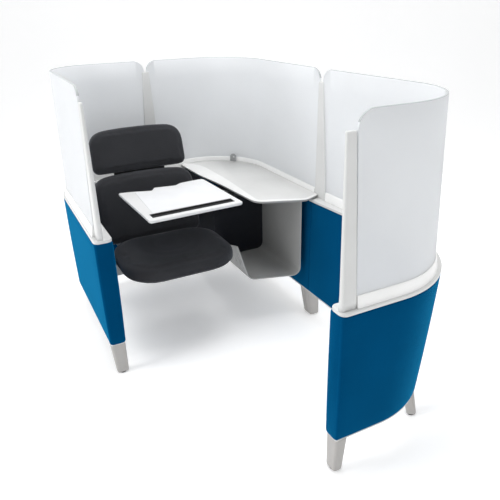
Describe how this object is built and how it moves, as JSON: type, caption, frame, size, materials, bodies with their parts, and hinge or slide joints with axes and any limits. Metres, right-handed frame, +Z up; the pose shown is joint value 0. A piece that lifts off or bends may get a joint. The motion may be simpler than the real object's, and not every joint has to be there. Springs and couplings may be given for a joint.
{
  "type": "study carrel",
  "caption": "Lounge-type study carrel: curved fabric privacy wall with frosted screens round a padded seat, fixed side worksurface, bag cradle and swing-out tablet",
  "frame": {"origin": "on the floor, under the middle of the carrel's bounding box", "axes": "+Z up; the sitter faces -Y, the way in; +X is the sitter's left, where the worksurface is; the length runs along Y"},
  "size_m": [1.164, 1.861, 1.266],
  "materials": {
    "blue_fabric": "woven, matt",
    "charcoal_fabric": "fine woven, matt",
    "white_trim": "satin",
    "frosted_screen": "frosted, translucent",
    "leg_paint": "satin powder coat",
    "desk_white": "fine matt laminate",
    "grey_sheet": "satin powder coat",
    "dark_metal": "dark powder coat",
    "steel": "brushed",
    "black_rubber": "matt",
    "black_panel": "matt"
  },
  "bodies": {
    "frame": {"panel_left": "blue_fabric", "panel_rear": "blue_fabric", "panel_front": "blue_fabric", "cap_rail_left": "white_trim", "cap_rail_rear": "white_trim", "cap_rail_front": "white_trim", "screen_strip_left": "white_trim", "screen_strip_rear": "white_trim", "screen_strip_front": "white_trim", "post_left_end": "white_trim", "post_rear": "white_trim", "post_right": "white_trim", "post_front_end": "white_trim", "screen_left": "frosted_screen", "screen_rear": "frosted_screen", "screen_front": "frosted_screen", "leg_left_end": "leg_paint", "leg_rear_left": "leg_paint", "leg_rear": "leg_paint", "leg_rear_right": "leg_paint", "leg_right": "leg_paint", "leg_front_right": "leg_paint", "leg_front_end": "leg_paint", "glide_left_end": "black_rubber", "glide_rear_left": "black_rubber", "glide_rear": "black_rubber", "glide_rear_right": "black_rubber", "glide_right": "black_rubber", "glide_front_right": "black_rubber", "glide_front_end": "black_rubber", "seat_cushion": "charcoal_fabric", "bag_cradle": "grey_sheet", "seat_beam": "grey_sheet", "seat_strut_left": "grey_sheet", "seat_strut_right": "grey_sheet", "seat_pan": "dark_metal", "pivot_bracket_left": "dark_metal", "pivot_bracket_right": "dark_metal", "tablet_mount": "dark_metal", "back_pivot_rod": "steel", "cradle_bolt_1": "steel", "cradle_bolt_2": "steel", "screen_clip": "steel", "tablet_pivot_pin": "steel", "tablet_pivot_nut": "steel", "worksurface": "desk_white", "cradle_back_panel": "black_panel"},
    "back": {"back_upright_left": "dark_metal", "back_upright_right": "dark_metal", "back_shell": "dark_metal", "back_cushion": "charcoal_fabric", "headrest_shell": "dark_metal", "headrest_cushion": "charcoal_fabric"},
    "tablet_arm": {"tablet_arm": "dark_metal"},
    "tilt_carrier": {"tilt_bracket": "dark_metal", "tilt_bracket_nut": "steel", "tilt_pin": "steel"},
    "tablet": {"tray_plate": "dark_metal", "tablet_tray": "white_trim", "device_slot_liner": "black_rubber"}
  },
  "joints": [
    {"name": "back_flex", "type": "hinge", "parent": "frame", "child": "back", "pos_m": [-0.184, 0.59865, 0.38815], "axis": [-1, 0, 0], "range_deg": [0, 6], "stiffness_Nm_per_rad": 150, "springref_deg": -14.32},
    {"name": "tablet_arm_swivel", "type": "hinge", "parent": "frame", "child": "tablet_arm", "pos_m": [0.135, 0.3435, 0.63], "axis": [0, 0, 1], "range_deg": [0, 45]},
    {"name": "tablet_swivel", "type": "hinge", "parent": "tablet_arm", "child": "tilt_carrier", "pos_m": [-0.055, 0.2585, 0.65], "axis": [0, 0, 1], "range_deg": [-10, 30]},
    {"name": "tablet_tilt", "type": "hinge", "parent": "tilt_carrier", "child": "tablet", "pos_m": [-0.055, 0.2585, 0.671], "axis": [-0.999, -0.0436, 0], "range_deg": [0, 18]}
  ]
}
